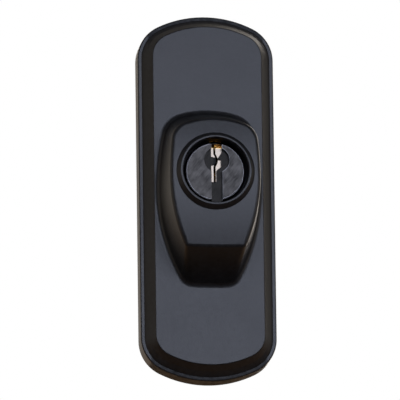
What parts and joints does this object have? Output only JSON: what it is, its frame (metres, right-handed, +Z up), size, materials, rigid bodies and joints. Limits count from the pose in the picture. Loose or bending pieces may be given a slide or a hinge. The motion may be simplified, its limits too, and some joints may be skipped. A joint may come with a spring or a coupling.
{
  "type": "sliding patio door lock",
  "caption": "Black arched escutcheon with a tapered hood and a keyed pin tumbler cylinder that turns a flat tailpiece through a sliding patio door.",
  "frame": {"origin": "midway between the two mounting posts, on the plane of the door's outer face", "axes": "+Y into the door, -Y out of its face towards the key, +Z up along the plate, +X to the right seen from outside"},
  "size_m": [0.031, 0.0615, 0.0848],
  "materials": {
    "black_casting": "satin black coat on a zinc die-casting",
    "gasket_rubber": "matt black die-cut rubber",
    "shell_brass": "machined brass",
    "plug_brass": "brass with a brushed black nickel face and a bright broached keyway",
    "pin_brass": "turned brass",
    "driver_steel": "turned steel",
    "spring_steel": "drawn spring steel",
    "zinc_plated_steel": "bright zinc plate",
    "post_steel": "turned and zinc plated steel"
  },
  "bodies": {
    "trim": {"escutcheon": "black_casting", "backing_gasket": "gasket_rubber", "cylinder_shell": "shell_brass", "chamber_cover": "shell_brass", "clamp_plate": "zinc_plated_steel", "clamp_screws": "zinc_plated_steel", "mounting_post_top": "post_steel", "mounting_post_bottom": "post_steel", "pin_spring_1": "spring_steel", "pin_spring_2": "spring_steel", "pin_spring_3": "spring_steel", "pin_spring_4": "spring_steel", "pin_spring_5": "spring_steel"},
    "plug": {"plug": "plug_brass", "retaining_clip": "spring_steel", "tailpiece": "zinc_plated_steel", "tailpiece_screws": "zinc_plated_steel"},
    "key_pin_1": {"key_pin_1": "pin_brass"},
    "driver_pin_1": {"driver_pin_1": "driver_steel"},
    "key_pin_2": {"key_pin_2": "pin_brass"},
    "driver_pin_2": {"driver_pin_2": "driver_steel"},
    "key_pin_3": {"key_pin_3": "pin_brass"},
    "driver_pin_3": {"driver_pin_3": "driver_steel"},
    "key_pin_4": {"key_pin_4": "pin_brass"},
    "driver_pin_4": {"driver_pin_4": "driver_steel"},
    "key_pin_5": {"key_pin_5": "pin_brass"},
    "driver_pin_5": {"driver_pin_5": "driver_steel"}
  },
  "joints": [
    {"name": "plug_turn", "type": "hinge", "parent": "trim", "child": "plug", "pos_m": [0, 0, 0.00265], "axis": [0, 1, 0], "range_deg": [-90, 90]},
    {"name": "key_pin_1_slide", "type": "slide", "parent": "plug", "child": "key_pin_1", "axis": [0, 0, 1], "range_m": [0, 0.0025]},
    {"name": "key_pin_2_slide", "type": "slide", "parent": "plug", "child": "key_pin_2", "axis": [0, 0, 1], "range_m": [0, 0.0017]},
    {"name": "key_pin_3_slide", "type": "slide", "parent": "plug", "child": "key_pin_3", "axis": [0, 0, 1], "range_m": [0, 0.0029]},
    {"name": "key_pin_4_slide", "type": "slide", "parent": "plug", "child": "key_pin_4", "axis": [0, 0, 1], "range_m": [0, 0.0021]},
    {"name": "key_pin_5_slide", "type": "slide", "parent": "plug", "child": "key_pin_5", "axis": [0, 0, 1], "range_m": [0, 0.0033]},
    {"name": "driver_pin_1_slide", "type": "slide", "parent": "trim", "child": "driver_pin_1", "axis": [0, 0, 1], "range_m": [-0.0012, 0], "stiffness_N_per_m": 60, "springref_m": 0.008, "deforming": ["pin_spring_1"]},
    {"name": "driver_pin_2_slide", "type": "slide", "parent": "trim", "child": "driver_pin_2", "axis": [0, 0, 1], "range_m": [-0.002, 0], "stiffness_N_per_m": 60, "springref_m": 0.008, "deforming": ["pin_spring_2"]},
    {"name": "driver_pin_3_slide", "type": "slide", "parent": "trim", "child": "driver_pin_3", "axis": [0, 0, 1], "range_m": [-0.0008, 0], "stiffness_N_per_m": 60, "springref_m": 0.008, "deforming": ["pin_spring_3"]},
    {"name": "driver_pin_4_slide", "type": "slide", "parent": "trim", "child": "driver_pin_4", "axis": [0, 0, 1], "range_m": [-0.0016, 0], "stiffness_N_per_m": 60, "springref_m": 0.008, "deforming": ["pin_spring_4"]},
    {"name": "driver_pin_5_slide", "type": "slide", "parent": "trim", "child": "driver_pin_5", "axis": [0, 0, 1], "range_m": [-0.0004, 0], "stiffness_N_per_m": 60, "springref_m": 0.008, "deforming": ["pin_spring_5"]}
  ]
}
